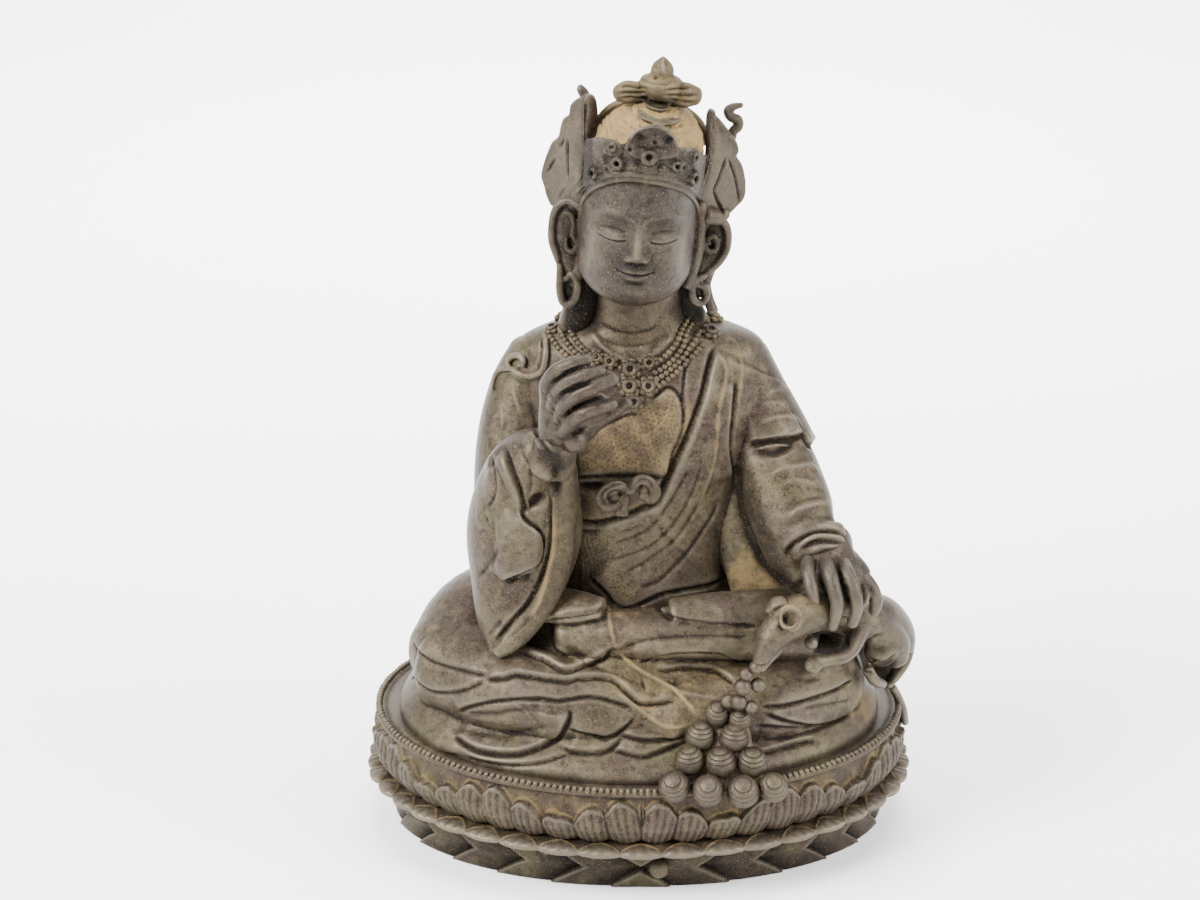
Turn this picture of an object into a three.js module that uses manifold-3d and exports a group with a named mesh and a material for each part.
// A small cast-bronze figure: a crowned deity seated cross-legged on an oval lotus seat, right hand raised
// before the chest, left hand on a jewel-spitting mongoose at the knee. Millimetres, +Z up, and the figure
// faces -Y. The figure, animal, jewels and seat are one casting, so one solid.
import * as THREE from 'three';
import { mergeVertices } from 'three/addons/utils/BufferGeometryUtils.js';
import Module from 'manifold-3d';

const wasm = await Module();
wasm.setup();

// Driving dimensions of the seat
const seatHalfWidth = 61; // at the beaded rim
const seatDepthRatio = 0.75; // depth of the oval over its width
const footHalfWidth = 58; // ring of leaves the seat stands on
const footDepthRatio = 0.67;
const seatHeight = 28; // top face of the lotus seat
const flangeHalfWidth = 64; // ring of lying petals, the widest part
const flangeHeight = 14;

// Driving dimensions of the figure
const shoulderHeight = 113;
const shoulderHalfWidth = 28;
const kneeSpread = 41.5; // from the middle to the centre of a knee
const headCentre = [0, -1.5, 143.4];
const headLean = THREE.MathUtils.degToRad(4.5); // to the figure's left
const headNod = THREE.MathUtils.degToRad(4);
const faceHalfWidth = 13;

const vec = ([x, y, z]) => new THREE.Vector3(x, y, z);
const mix = (a, b, t) => a.map((value, i) => value + (b[i] - value) * t);
const mirrored = (points) => points.map(([x, y, z]) => [-x, y, z]);
const rad = THREE.MathUtils.degToRad;

// A closed skin over a run of rings, each end drawn together to a pole.
function skin(rings, firstPole, lastPole) {
  const sides = rings[0].length;
  const points = [firstPole, ...rings.flat(), lastPole];
  const last = points.length - 1;
  const at = (ring, side) => 1 + ring * sides + (side % sides);
  const faces = [];
  for (let side = 0; side < sides; side++) {
    faces.push(0, at(0, side + 1), at(0, side));
    faces.push(last, at(rings.length - 1, side), at(rings.length - 1, side + 1));
    for (let ring = 0; ring < rings.length - 1; ring++) {
      faces.push(at(ring, side), at(ring, side + 1), at(ring + 1, side + 1));
      faces.push(at(ring, side), at(ring + 1, side + 1), at(ring + 1, side));
    }
  }
  const geometry = new THREE.BufferGeometry();
  const flat = points.flatMap((point) => point.toArray());
  geometry.setAttribute('position', new THREE.Float32BufferAttribute(flat, 3));
  geometry.setIndex(faces);
  return geometry;
}

// A tapering round or flat strand along a smooth path. Each size is a radius, or [half width, half thickness],
// the thickness lying along `up`. The ends bulge by `blunt` times their radius.
function limb(path, sizes, { sides = 6, steps = path.length - 1, up = [0, 0, 1], blunt = 0.6 } = {}) {
  const smooth = (points) => new THREE.CatmullRomCurve3(points, false, 'catmullrom');
  const curve = smooth(path.map(vec));
  const spread = smooth(sizes.map((size) => (Array.isArray(size) ? vec([...size, 0]) : vec([size, size, 0]))));
  const hint = vec(up);
  const rings = [];
  const poles = [];
  for (let step = 0; step <= steps; step++) {
    const t = step / steps;
    const centre = curve.getPoint(t);
    const along = curve.getTangent(t).normalize();
    const across = new THREE.Vector3().crossVectors(along, hint).normalize();
    const rise = new THREE.Vector3().crossVectors(across, along);
    const size = spread.getPoint(t);
    rings.push(Array.from({ length: sides }, (_, side) => {
      const turn = (2 * Math.PI * side) / sides;
      return centre.clone()
        .addScaledVector(across, size.x * Math.cos(turn))
        .addScaledVector(rise, size.y * Math.sin(turn));
    }));
    const reach = blunt * Math.min(size.x, size.y);
    if (step === 0) poles.push(centre.clone().addScaledVector(along, -reach));
    if (step === steps) poles.push(centre.clone().addScaledVector(along, reach));
  }
  return skin(rings, poles[0], poles[1]);
}

// A stack of level ovals. A station is [z, x, y, half width, half depth]. `relief` moves a point outwards by
// its turn, counted from the front, and its height; `crowd` draws the sides together at the front.
function loft(stations, sides, { relief = () => 0, crowd = 0 } = {}) {
  const rings = stations.map(([z, x, y, width, depth]) => Array.from({ length: sides }, (_, side) => {
    const even = (2 * Math.PI * side) / sides;
    const turn = even - crowd * Math.sin(even);
    const out = relief(turn, z);
    return new THREE.Vector3(x + (width + out) * Math.sin(turn), y - (depth + out) * Math.cos(turn), z);
  }));
  const [first, last] = [stations[0], stations[stations.length - 1]];
  return skin(rings, vec([first[1], first[2], first[0]]), vec([last[1], last[2], last[0]]));
}

const ball = (centre, radius, sides = 5) => new THREE.SphereGeometry(radius, sides, 3).translate(...centre);

function ringAt(centre, radius, thickness, facing) {
  const turn = new THREE.Quaternion().setFromUnitVectors(vec([0, 0, 1]), vec(facing).normalize());
  return new THREE.TorusGeometry(radius, thickness, 4, 6).applyQuaternion(turn).translate(...centre);
}

// One solid from a geometry, turned right side out.
function solid(geometry) {
  const bare = new THREE.BufferGeometry().setAttribute('position', geometry.getAttribute('position').clone());
  bare.setIndex(geometry.index ? geometry.index.clone() : null);
  const merged = mergeVertices(bare, 1e-3);
  const triVerts = new Uint32Array(merged.index.array);
  const vertProperties = merged.attributes.position.array;
  const made = new wasm.Manifold(new wasm.Mesh({ numProp: 3, vertProperties, triVerts }));
  if (made.volume() > 0) return made;
  for (let i = 0; i < triVerts.length; i += 3) {
    [triVerts[i + 1], triVerts[i + 2]] = [triVerts[i + 2], triVerts[i + 1]];
  }
  return new wasm.Manifold(new wasm.Mesh({ numProp: 3, vertProperties, triVerts }));
}

// The outer skin alone, without the pockets that are left between joined forms
const outerSkin = (whole) => whole.decompose()
  .reduce((most, body) => (body.volume() > most.volume() ? body : most));

const joined = (geometries) => geometries.map(solid).reduce((whole, piece) => whole.add(piece));

function toGeometry(manifold) {
  const mesh = manifold.getMesh();
  const geometry = new THREE.BufferGeometry();
  geometry.setAttribute('position', new THREE.BufferAttribute(new Float32Array(mesh.vertProperties), 3));
  geometry.setIndex(new THREE.BufferAttribute(new Uint32Array(mesh.triVerts), 1));
  return geometry;
}

// A point of the oval seat: `turn` in degrees counts from the front, positive to the figure's left.
const onOval = (turn, radius, z, ratio = seatDepthRatio) => [
  radius * Math.sin(rad(turn)), -ratio * radius * Math.cos(rad(turn)), z];

// Cloth edges are laid on a form from one side: each point is [x, height], and the path goes along a line of
// sight to where it meets the form. Height counts at the middle of the seat. In front the line slopes down.
const fromFront = new THREE.Vector3(0, Math.cos(rad(22)), -Math.sin(rad(22)));
const fromBehind = new THREE.Vector3(0, -1, 0);
function drape(form, points, sizes, { sight = fromFront, steps = 4, sides = 4 } = {}) {
  const caster = new THREE.Raycaster();
  const guide = new THREE.CatmullRomCurve3(points.map(([x, height]) => new THREE.Vector3(x, 0, height)));
  const path = [];
  for (let step = 0; step <= steps; step++) {
    const aim = guide.getPoint(step / steps);
    caster.set(aim.clone().addScaledVector(sight, -120), sight);
    const [hit] = caster.intersectObject(form);
    if (hit) path.push(hit.point.toArray());
  }
  const full = Array.from(path, (_, i) => {
    const t = (i / (path.length - 1)) * (sizes.length - 1);
    const low = Math.min(Math.floor(t), sizes.length - 2);
    return mix(sizes[low], sizes[low + 1], t - low);
  });
  return limb(path, full, { sides, steps: path.length - 1, up: sight.toArray() });
}

// The same between a first and a last line of points: `count` folds, evenly spread.
const foldFamily = (form, first, last, count, sizes, options) => Array.from({ length: count }, (_, i) => {
  const t = count > 1 ? i / (count - 1) : 0;
  return drape(form, first.map((point, k) => mix(point, last[k], t)), sizes, options);
});

// Lotus seat: one skin of level rings whose relief is worked out from the turn round the oval. Going up, they
// carry the swallow-tailed leaves of the foot, the lying petals of the flange, the standing petals and the rim.
const petalCount = 52;
const footLeavesPerSide = 13;

// Leaves of the foot run from the front round both sides: each rises towards its notched outer end, then drops
function footRelief(turn, height) {
  const leafDeg = 180 / footLeavesPerSide;
  const notchDeg = 6; // how far the two tails reach past the notch
  const fromMiddle = Math.abs(height - 5) / 5;
  const travelled = Math.abs(turn) - notchDeg * fromMiddle + leafDeg;
  return (travelled % leafDeg) / leafDeg;
}

// 1 on the spine of a petal and 0 in the groove between two; the petals rise and fall in groups of five
const petalRelief = (turn) => 0.5 + 0.5 * Math.cos(rad(turn * petalCount));
const petalGroup = (turn) => 0.5 + 0.5 * Math.cos(rad((turn * petalCount) / 5));

function lotusSeat() {
  const columns = 2 * petalCount;
  const foot = (turn, z) => footHalfWidth - 4.5 + 4.5 * footRelief(turn, z) * (1 - 0.045 * z);
  const rows = [
    (turn) => [foot(turn, 0), 0, footDepthRatio],
    (turn) => [foot(turn, 5) + 0.4, 5, footDepthRatio + 0.01],
    (turn) => [foot(turn, 9) - 0.8, 9.4, footDepthRatio + 0.02],
    (turn) => [flangeHalfWidth - 2.6 + 2.6 * petalRelief(turn), flangeHeight - 0.6 - 0.8 * petalRelief(turn)],
    (turn) => [58.8 + 1.2 * petalRelief(turn), flangeHeight + 2],
    (turn) => [59.4 + 2.6 * petalRelief(turn), flangeHeight + 6.4],
    (turn) => [58.8 + 2 * petalRelief(turn) * petalGroup(turn), flangeHeight + 11.2],
    () => [seatHalfWidth, seatHeight]];
  const rings = rows.map((row) => Array.from({ length: columns }, (_, column) => {
    const turn = (360 * column) / columns - 180;
    return vec(onOval(turn, ...row(turn)));
  }));
  return skin(rings, vec([0, 0, 0]), vec([0, 0, seatHeight]));
}

// The small round stud at the front of the foot
const footStud = () => limb([onOval(4, 52, 6.6, footDepthRatio), onOval(4, 60.6, 5.6, footDepthRatio)],
  [2.6, 2], { sides: 8, steps: 1 });

// Crossed legs under a robe that pools on the seat
function lapForm() {
  const pool = loft([
    [seatHeight - 2, 0, -3, 55, 38.6], [seatHeight + 2, 0, -3, 55.4, 39], [35, 0, -2, 52.6, 34.6],
    [44, 0, -0.6, 47, 31], [53, 0, 2, 36, 28], [59.5, 0, 5.5, 27, 21]], 18);
  const legs = [pool];
  for (const side of [-1, 1]) {
    const low = side > 0 ? 2 : 0;
    const thigh = [[14 * side, 14, 46], [34 * side, 2.5, 46.6 - low], [kneeSpread * side, -9, 42 - low]];
    const shin = [
      [kneeSpread * side, -10, 41.6 - low], [28 * side, -22, 41 - low],
      [10 * side, -27.5, 40 - low], [-6 * side, -28, 39 - low]];
    legs.push(limb(thigh, [[13.6, 13], [13.4, 13.2], [12.4, 12.4]], { sides: 9, steps: 3 }));
    legs.push(limb(shin, [[11.6, 12], [10.6, 11], [8.6, 9], [5, 6]], { sides: 9 }));
  }
  const upperShin = [[-16, -21, 54.4], [2, -24.6, 55.6], [22, -24, 55.4], [38, -18, 53.6]];
  legs.push(limb(upperShin, [[5.4, 5.4], [5, 5.2], [5.4, 5.4], [6, 5.6]], { sides: 8 }));
  return joined(legs);
}

// The two soles that show on the crossed shins
const soles = () => [
  limb([[-26, -15, 59.5], [-16, -21, 61], [-9, -24, 62]], [[5.5, 2.4], [5, 2.6], [3, 1.8]],
    { sides: 6, steps: 3, up: [0, -0.4, 1] }),
  limb([[7, -25.5, 62.4], [18, -24, 61.6], [34, -19, 60]], [[3, 1.6], [5, 2.6], [5.5, 2.6]],
    { sides: 6, steps: 3, up: [0, -0.4, 1] }),
];

// Lapping hems and folds of the robe over the legs
function lapFolds(form) {
  const hem = [[0.6, 0.6], [2.2, 1.5], [0.6, 0.6]];
  const fold = [[0.5, 0.5], [1.5, 1.1], [0.5, 0.5]];
  return [
    ...foldFamily(form, [[-50, 41], [-38, 36], [-20, 37], [-8, 40]],
      [[-48, 26], [-34, 18], [-18, 16], [-4, 21]], 3, hem),
    ...foldFamily(form, [[-44, 17], [-30, 9], [-14, 12]], [[-20, 12], [-6, 10], [6, 14]], 2, hem),
    ...foldFamily(form, [[-2, 41], [8, 38], [22, 35]], [[0, 34], [8, 29], [18, 28]], 2, fold),
    ...foldFamily(form, [[24, 24], [36, 20], [48, 27]], [[26, 16], [38, 13], [48, 20]], 2, hem),
  ];
}

// Trunk and neck, as level ovals
const trunkStations = [
  [50, 0, 7, 32, 24], [62, 0, 5, 26.5, 21.6], [72, 0, 3.6, 25.4, 19], [88, 0, 3.4, 26, 17.2],
  [102, 0, 4.6, 29, 16.4], [shoulderHeight, 0, 5, shoulderHalfWidth, 13.4], [117.4, 0, 4.6, 22, 11.4],
  [120.6, -0.4, 3.2, 12, 9.8], [129, -0.4, 0.6, 9, 9.6], [137, -0.2, -0.6, 8.6, 9]];

// Where the front of the trunk is at a given x and height
function onTrunk(x, z, lift = 0) {
  const upper = Math.max(1, trunkStations.findIndex((station) => station[0] >= z));
  const [low, high] = [trunkStations[upper - 1], trunkStations[upper]];
  const [, middle, y, width, depth] = mix(low, high, (z - low[0]) / (high[0] - low[0]));
  const side = Math.min(0.97, Math.abs(x - middle) / width);
  return [x, y - depth * Math.sqrt(1 - side * side) - lift, z];
}

// Shawl across the chest from the left shoulder, as lapping bands, with the belt, its bow and the chest cloth
function chestCloth() {
  const pieces = [];
  const bands = 3;
  const facing = { sides: 4, up: [0.1, -1, 0] };
  for (let i = 0; i < bands; i++) {
    const path = [
      [14.5 + 3.4 * i, 117 - 1.2 * i], [14.5 + 3.4 * i, 101 - 2.2 * i], [8 + 4.5 * i, 87 - 5.4 * i],
      [-6 + 3.5 * i, 77 - 5.9 * i], [-18 + i, 74 - 5.4 * i]];
    const sizes = [[2.6, 0.9], [3.5, 1.4], [3.7, 1.5], [3, 1.3], [1.4, 0.7]];
    pieces.push(limb(path.map(([x, z]) => onTrunk(x, z, 0.5)), sizes, facing));
  }
  pieces.push(limb([-20, -5, 8].map((x) => onTrunk(x, 84, 0.2)), [[1.4, 1], [1.6, 1.1], [1, 0.8]], facing));
  for (const side of [-1, 1]) {
    const bow = [onTrunk(-3.4, 83.5, 1.2), onTrunk(-3.4 + 5.5 * side, 84.5, 1.2)];
    pieces.push(limb(bow, [[1, 0.9], [2.5, 1.3]], facing));
  }
  const lapel = [onTrunk(-21, 92, 0), onTrunk(-6, 100.5, 0.3), onTrunk(1, 103, 0.3)];
  pieces.push(limb(lapel, [[1, 0.9], [1.2, 1], [0.8, 0.8]], facing));
  return pieces;
}

// Two bead strands with pendants, and the flower clusters they hang from at the shoulders
function necklaces() {
  const strand = (points) => limb(
    points.map(([x, z]) => onTrunk(x, z, 0.9)), points.map(() => [1.2, 1.1]), { sides: 4, up: [0, -1, 0.3] });
  const pieces = [
    strand([[-15, 117], [-11, 111.5], [-1, 106], [9, 111], [14.5, 116.5]]),
    strand([[-11.5, 117.5], [-8, 113.5], [-0.8, 110.6], [7, 113.5], [11, 117]])];
  for (const [x, z] of [[-4.5, 108], [1, 107.6], [-1.4, 103.8]]) pieces.push(ball(onTrunk(x, z, 1.4), 2));
  for (const side of [-1, 1]) {
    pieces.push(ball(onTrunk(15.5 * side, 116.4, 1.4), 3.2, 6));
  }
  return pieces;
}

// Right arm: upper arm, raised forearm, and the wide sleeve that hangs from the wrist to a point
function rightArm() {
  const forward = { sides: 8, up: [0, -1, 0] };
  const upperArm = [[-22, 6, 109.5], [-25.6, 5, 101], [-27.8, 2, 88], [-28.6, -3, 68]];
  const sleeve = [
    [-20.6, -21, 98], [-24.6, -15, 90.5], [-26.6, -12, 78], [-27.4, -14, 66], [-29.6, -20.5, 56.5],
    [-31.2, -25, 52]];
  const innerHem = [[-15.6, -22, 93], [-15.4, -22, 80], [-18.4, -22.5, 68], [-25, -25.4, 57]];
  const pieces = [
    limb(upperArm, [[8, 8.6], [8.8, 9.6], [9.4, 11], [9, 12]], forward),
    limb(sleeve, [[5.4, 5.4], [9.4, 9.6], [11.8, 12], [10.8, 11.4], [7, 7], [2.4, 2.4]], forward),
    limb([[-19.4, -23.6, 95], [-17.8, -25.5, 101.6]], [[6, 5.2], [4.8, 4]], forward),
    limb(innerHem, [[1.6, 2], [2, 2.6], [2, 2.6], [1, 1.4]], { ...forward, sides: 5 })];
  for (const i of [0, 1]) {
    const x = -31 + 5.5 * i;
    const fold = [[x + 3, -24 - 0.6 * i, 92 - 2 * i], [x, -23.4, 78 - 3 * i], [x - 0.5, -24.2, 64 - 2 * i]];
    pieces.push(limb(fold, [[0.5, 0.5], [1.5, 1.4], [0.5, 0.5]], { ...forward, sides: 5 }));
  }
  return pieces;
}

// Four fingers, each from its knuckle over a bend to its tip
const fingers = (knuckleBendTip, sizes, up) => [0, 1, 2, 3].map((i) => (
  limb(knuckleBendTip(i), sizes, { sides: 5, up })));

// Right hand: a loosely closed hand seen from its back, fingers stacked and pointing to the figure's left
function rightHand() {
  const reach = [8, 11, 11.5, 9];
  const palm = [[-17.5, -25.5, 100], [-17.6, -26.7, 109], [-17, -27.5, 116]];
  return [
    limb(palm, [[4.2, 3.6], [5.1, 3.8], [2.8, 2.4]], { sides: 7, up: [0, -1, 0] }),
    limb([[-13, -24, 102], [-8, -23.5, 106], [-4.5, -25, 111.5]], [2.4, 2.1, 1.5], { sides: 5 }),
    ...fingers((i) => {
      const [x, z] = [-20 + 1.1 * i, 116 - 3.9 * i];
      return [[x, -27.6, z], [x + 0.5 * reach[i], -31, z + 2], [x + reach[i], -30.2, z + 3.8]];
    }, [2.3, 2.3, 1.8], [0, 0, 1])];
}

// Left arm: a short over-sleeve, a tight sleeve to a banded wrist, and the robe that fills the gap to the body
function leftArm() {
  const forward = { sides: 8, up: [0, -1, 0] };
  const overSleeve = [[21, 6, 109.5], [24.8, 5, 101], [28.4, 3, 93], [29.8, 2, 89]];
  const forearm = [[28, 2, 92], [30.8, -3, 85], [35.4, -11, 77.4], [38.8, -17, 73.4]];
  return [
    limb(overSleeve, [[8, 8.6], [8.6, 9.5], [9.6, 10.2], [10.4, 11]], { ...forward, blunt: 0.1 }),
    limb(forearm, [[9, 9], [9.6, 9.6], [8.4, 8.4], [5.8, 5.8]], forward),
    limb([[39, -15.4, 75], [40.4, -18.6, 72]], [[6.4, 6.4], [5.6, 5.6]], forward),
    limb([[26, 4, 84], [28, 3, 72], [32, 2, 52]], [[5, 8], [6, 9], [10, 11]], { up: [0, 1, 0] })];
}

// Left hand: the back of the hand with four fingers hanging over the animal's neck
function leftHand() {
  const drop = [8.5, 11, 10, 7.5];
  const palm = [[41, -18, 72.4], [42.5, -23, 71.6], [43, -28, 69.4]];
  return [
    limb(palm, [[4.8, 3.4], [6, 3.4], [6.4, 2.6]], { sides: 7 }),
    limb([[36.5, -20, 71], [34.8, -24, 67.6], [34.4, -26, 64]], [2, 1.8, 1.4], { sides: 5 }),
    ...fingers((i) => {
      const x = 38 + 3.7 * i;
      return [[x + 0.4, -27.5 + 0.7 * i, 70.4], [x, -32.2 + 0.8 * i, 68.4], [x, -33.8 + i, 71 - drop[i]]];
    }, [2.1, 2.1, 1.6], [1, 0, 0])];
}

// The animal: long head with the jaws turned down to the jewels, arched body, foreleg, hind leg and thin tail
function mongoose() {
  const acrossBody = { sides: 8, up: [0.5, -0.6, 0.6] };
  const neckAndHead = [
    [48, -18, 59], [40, -25, 63], [32.6, -31, 63.2], [27.4, -35.4, 57.4], [24.2, -37.4, 51.4]];
  const back = [[44, -19, 58.6], [50.6, -14.8, 56.4], [55, -10, 48.8], [53.6, -8, 41]];
  const foreleg = [[47.4, -22, 58], [47.6, -28.6, 54], [43.4, -31.5, 52], [37.6, -33.5, 52.6]];
  const hindLeg = [[57, -12, 46], [58.4, -9, 38], [56.5, -11, 31.5], [54, -15, 29.4]];
  const tail = [[58, 0, 46], [61.4, 4, 38], [60, 6, 30], [57, 7, 27.6]];
  return [
    limb(neckAndHead, [[6.4, 6.2], [4.8, 4.8], [4.8, 5], [3.2, 3.2], [2.2, 2.2]], acrossBody),
    limb(back, [[5.4, 5.8], [6.4, 6.8], [6.8, 7], [5, 5]], acrossBody),
    limb([[28, -31, 52.5], [25, -35, 49.4]], [2.2, 1.5], { sides: 5 }),
    limb(foreleg, [2.7, 2.3, 2, 1.9], { sides: 5 }),
    limb(hindLeg, [3.6, 2.2, 1.8, 1.5], { sides: 5 }),
    limb(tail, [1.3, 1.2, 1.1, 1], { sides: 5 }),
    limb([[32, -27, 67.5], [29.6, -29, 69.6]], [[1.6, 1], [0.8, 0.6]], { sides: 5 }),
    ball([31.2, -34.6, 63], 1.9)];
}

// Jewels that run from the animal's mouth down over the rim: rows of two, two, three and four, each bending
// back towards its right-hand end as the rim does
function jewels() {
  const jewelRadius = 3.5;
  const pitch = 7.1;
  const rows = [
    { count: 2, x: 17, y: -34, z: 41 }, { count: 2, x: 13, y: -36.6, z: 37.4 },
    { count: 3, x: 10.2, y: -40.6, z: 33.6 }, { count: 4, x: 7, y: -46.4, z: 29.6 }];
  const pieces = [limb([[20, -31, 40], [18, -36.5, 34.5], [17.5, -42, 28]], [[5, 4], [9, 4], [13, 3]])];
  for (const { count, x, y, z } of rows) {
    for (let i = 0; i < count; i++) {
      pieces.push(ball([x + pitch * i, y + 0.35 * i * i, z - 0.1 * i * i], jewelRadius));
    }
  }
  const small = [[23.6, -37.4, 48.4], [21, -37.2, 45.4], [24.4, -36.8, 44.8]];
  return [...pieces, ...small.map((centre) => ball(centre, 0.6 * jewelRadius))];
}

// Nose, mouth and brow, each a low swelling of the skull by turn and height
function faceRelief(turn, z) {
  const swell = (spread, middle, tall, high) => (
    high * Math.exp(-((turn / spread) ** 2) - (((z - middle) / tall) ** 2)));
  const nose = swell(0.14, -2.4, 2.6, 3.6) + swell(0.13, 1.6, 3, 2);
  return nose + swell(0.3, -7.4, 2, 1.6) + swell(0.6, 7, 2, 0.8);
}

// Head with its crown, in its own frame with the middle of the face at the origin
function head() {
  const stations = [
    [-14.6, 0, -10.2, 4, 3.8], [-12.2, 0, -7, 8.6, 8.6], [-8.2, 0, -4, 11.6, 11.6],
    [-3, 0, -1.8, faceHalfWidth, 13.8], [1.6, 0, -0.8, faceHalfWidth + 0.2, 14.8],
    [7, 0, -0.2, faceHalfWidth, 15.6], [14, 0.4, 0, 12, 14.6], [20, 1.4, 1, 10.6, 11.6],
    [24.6, 1.8, 1.6, 6.6, 7.6], [27, 2, 1.8, 2.6, 3]];
  const skull = loft(stations, 14, { relief: faceRelief, crowd: 0.45 });
  return [skull, ...ears(), ...crown(), ...topknot()];
}

// Long ears with scrolled rims and ring earrings
function ears() {
  const ear = [[14, -1, 6], [15.8, -0.4, 2], [15, 0, -5], [13.6, -0.4, -12], [13.2, -1, -17]];
  const sizes = [[1.6, 1.4], [3, 1.5], [2.6, 1.5], [1.9, 1.4], [1.6, 1.4]];
  const ring = [13.8, -2, -14.5];
  return [-1, 1].flatMap((side) => {
    const [path, [centre]] = [ear, [ring]].map((points) => (side > 0 ? points : mirrored(points)));
    return [
      limb(path, sizes, { sides: 5, up: [side * 0.3, -1, 0] }),
      ringAt(centre, 2.4, 0.9, [side * 0.4, -1, 0])];
  });
}

// Crown: an arched band, a front with a tall middle leaf and bosses, a band behind and a tall leaf at each side
function crown() {
  const radius = 15.6;
  const round = (turn, z, out = 0) => [
    (radius * 0.82 + out) * Math.sin(rad(turn)), -(radius + out) * Math.cos(rad(turn)) + 0.4, z];
  const turns = [-72, -38, 0, 38, 72];
  const arch = (turn) => 8.5 + 5 * Math.cos(rad(turn));
  const band = turns.map((turn) => round(turn, arch(turn), 0.2));
  const front = turns.map((turn) => round(turn * 0.86, arch(turn) + 4.6, -0.6));
  const middleLeaf = [round(0, 16.5, 0.2), round(0, 21.5, -0.8), round(0, 26, -1.8)];
  const sideLeaf = [[15, -1, 3], [16.8, 0.6, 9], [16.6, 0.6, 16.5], [13.2, -0.4, 26]];
  const rearBand = [[-13, 4, 13], [0, 16.2, 13], [13, 4, 13]];
  const pieces = [
    limb(band, turns.map(() => [1.3, 1.3]), { sides: 5, steps: 6, up: [0, -1, 0.1] }),
    limb(front, turns.map(() => [3.4, 1.2]), { up: [0, -1, 0.2] }),
    limb(middleLeaf, [[5.6, 1.3], [5.6, 1.3], [2.2, 0.9]], { up: [0, -1, 0] }),
    limb(rearBand, rearBand.map(() => [3.4, 1]), { steps: 4, up: [0, 1, 0.1] })];
  for (const [turn, z] of [[-36, 16], [0, 18], [36, 16]]) pieces.push(ball(round(turn, z, 0.5), 2));
  for (const side of [-1, 1]) {
    const path = side > 0 ? sideLeaf : mirrored(sideLeaf);
    pieces.push(limb(path, [[2, 0.9], [5.2, 1.1], [5, 1.1], [1, 0.8]], { up: [side * 0.6, -0.8, 0] }));
  }
  const curl = [[15.5, 6, 16], [18.5, 7, 20], [17.2, 7.5, 23], [20.2, 8, 25.4]];
  const stub = [[-14, 6, 18], [-12.6, 7.5, 28.4]];
  pieces.push(limb(curl, [1.2, 1.1, 1, 0.9], { sides: 5, up: [0, 1, 0] }));
  pieces.push(limb(stub, [1.5, 0.9], { sides: 5, up: [0, 1, 0] }));
  return pieces;
}

// Hair dome's two twisted side rolls, the bow and the bud on top
function topknot() {
  const middle = 2.2;
  const rolls = [-1, 1].map((side) => limb(
    [[middle + 12 * side, 0, 15], [middle + 9.2 * side, 0.6, 22], [middle + 4 * side, 0.8, 27]],
    [1.6, 1.7, 1.4], { sides: 5, up: [0, 1, 0] }));
  const loops = [[-8.8, 26.4], [-5, 27.6], [0, 26.8], [5, 27.6], [8.8, 26.4]];
  const loopSizes = [[1.6, 1.3], [2.5, 1.9], [1.2, 1.6], [2.5, 1.9], [1.6, 1.3]];
  const bow = limb(loops.map(([x, z]) => [middle + x, -0.6, z]), loopSizes, { up: [0, 1, 0.1] });
  const profile = [[0, 0], [3.6, 0], [4, 1.8], [2.8, 3.2], [3.4, 5], [2.2, 7.6], [0, 10.4]];
  const bud = new THREE.LatheGeometry(profile.map(([r, z]) => new THREE.Vector2(r, z)), 7)
    .rotateX(Math.PI / 2).translate(middle, 0.6, 27);
  return [...rolls, bow, bud];
}

// Curling tips of the shoulder cape, and the long hair and robe folds behind, plainer than the front
function capeAndBack(form) {
  const scroll = [[-15, -6, 116], [-17, -10, 108], [-20.5, -9, 104.6], [-26, -7.5, 106], [-24.5, -8.6, 109]];
  const tip = [[-29, -5, 107], [-33, -4, 104.5], [-35.4, -3, 100.6]];
  const hair = [[0, 8, 131], [0, 13.6, 119], [0, 18.4, 106]];
  const fold = [[0.6, 0.6], [1.8, 1.5], [2.2, 1.8], [1, 1]];
  const lastFold = [[13, 104], [16, 80], [22, 58], [30, 40]];
  const firstFold = lastFold.map(([x, z]) => [-x, z]);
  return [
    limb(scroll, [1.1, 1.2, 1.2, 1.1, 0.8], { sides: 5, up: [0, -1, 0] }),
    limb(tip, [[1.3, 1.3], [1.4, 1.4], [0.8, 0.8]], { sides: 5, up: [0, -1, 0] }),
    limb(hair, [[8.6, 3], [9.6, 3], [7, 2.4]], { up: [0, 1, 0] }),
    ...foldFamily(form, firstFold, lastFold, 4, fold, { sight: fromBehind })];
}

function statue() {
  const body = lapForm().add(solid(loft(trunkStations, 13)));
  const bodyMesh = new THREE.Mesh(toGeometry(body));
  const headPose = new THREE.Matrix4().makeRotationFromEuler(new THREE.Euler(headNod, headLean, 0))
    .setPosition(...headCentre);
  const pieces = [
    lotusSeat(), footStud(), ...soles(), ...lapFolds(bodyMesh), ...chestCloth(), ...necklaces(),
    ...rightArm(), ...rightHand(), ...leftArm(), ...leftHand(), ...mongoose(), ...jewels(),
    ...capeAndBack(bodyMesh), ...head().map((geometry) => geometry.applyMatrix4(headPose))];
  return outerSkin(body.add(joined(pieces)));
}

// The origin lies under the middle of the whole, and the jewels reach out a little further than the seat
const casting = toGeometry(statue());
casting.computeBoundingBox();
const middle = casting.boundingBox.getCenter(new THREE.Vector3());
casting.translate(-middle.x, -middle.y, 0);

const bronze = new THREE.MeshStandardMaterial({ color: 0x55493c, roughness: 0.55, metalness: 0.7 });
const mesh = new THREE.Mesh(toGeometry(outerSkin(solid(casting))), bronze);
mesh.name = 'statue';

const part = new THREE.Group();
part.name = 'seated_deity_figure';
part.add(mesh);
export default part;
